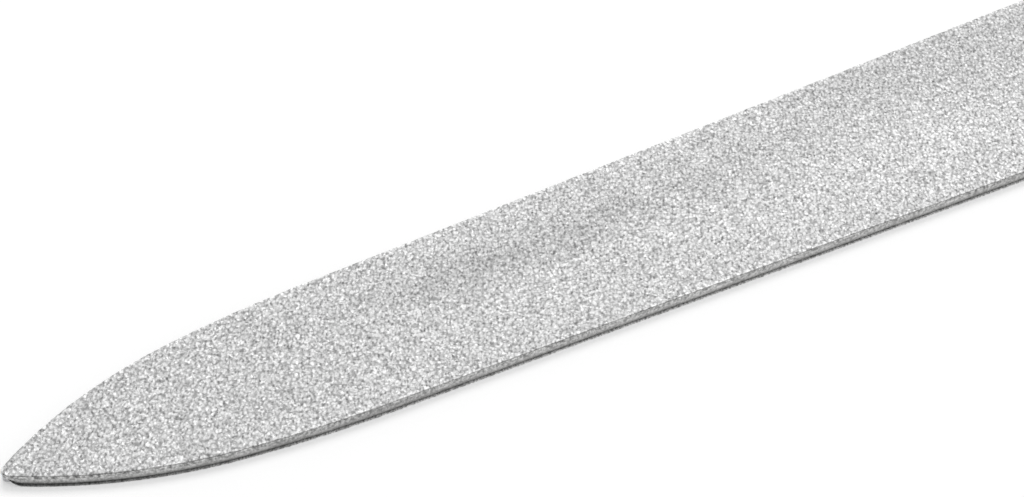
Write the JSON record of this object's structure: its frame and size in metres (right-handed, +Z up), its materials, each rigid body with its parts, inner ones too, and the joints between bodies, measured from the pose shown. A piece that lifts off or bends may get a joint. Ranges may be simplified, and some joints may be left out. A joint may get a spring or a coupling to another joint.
{
  "type": "diamond nail file",
  "caption": "Flat pointed nail file with diamond grit on both faces of a nickel-plated steel strip, and a moulded plastic handle whose two shells lock through the tang.",
  "frame": {"origin": "on the surface that the file lies on, under the middle of its bounding box", "axes": "+X along the file from the point to the handle, +Y across it, +Z up, away from the flat underside"},
  "size_m": [0.17, 0.015, 0.0043],
  "materials": {
    "spring_steel": "rolled strip, hidden under the plating and the handle",
    "bright_nickel": "smooth satin nickel plate on the edges and the neck",
    "coarse_diamond_grit": "silver-grey sparkling grit, crystals of about 0.15 mm",
    "fine_diamond_grit": "silver-grey sparkling grit, crystals of about 0.1 mm",
    "handle_plastic": "satin moulded plastic with a fine spark texture"
  },
  "bodies": {
    "root": {"steel_core": "spring_steel", "nickel_plating": "bright_nickel", "diamond_grit_upper": "coarse_diamond_grit", "diamond_grit_lower": "fine_diamond_grit", "handle_upper_shell": "handle_plastic", "handle_lower_shell": "handle_plastic"}
  },
  "joints": []
}
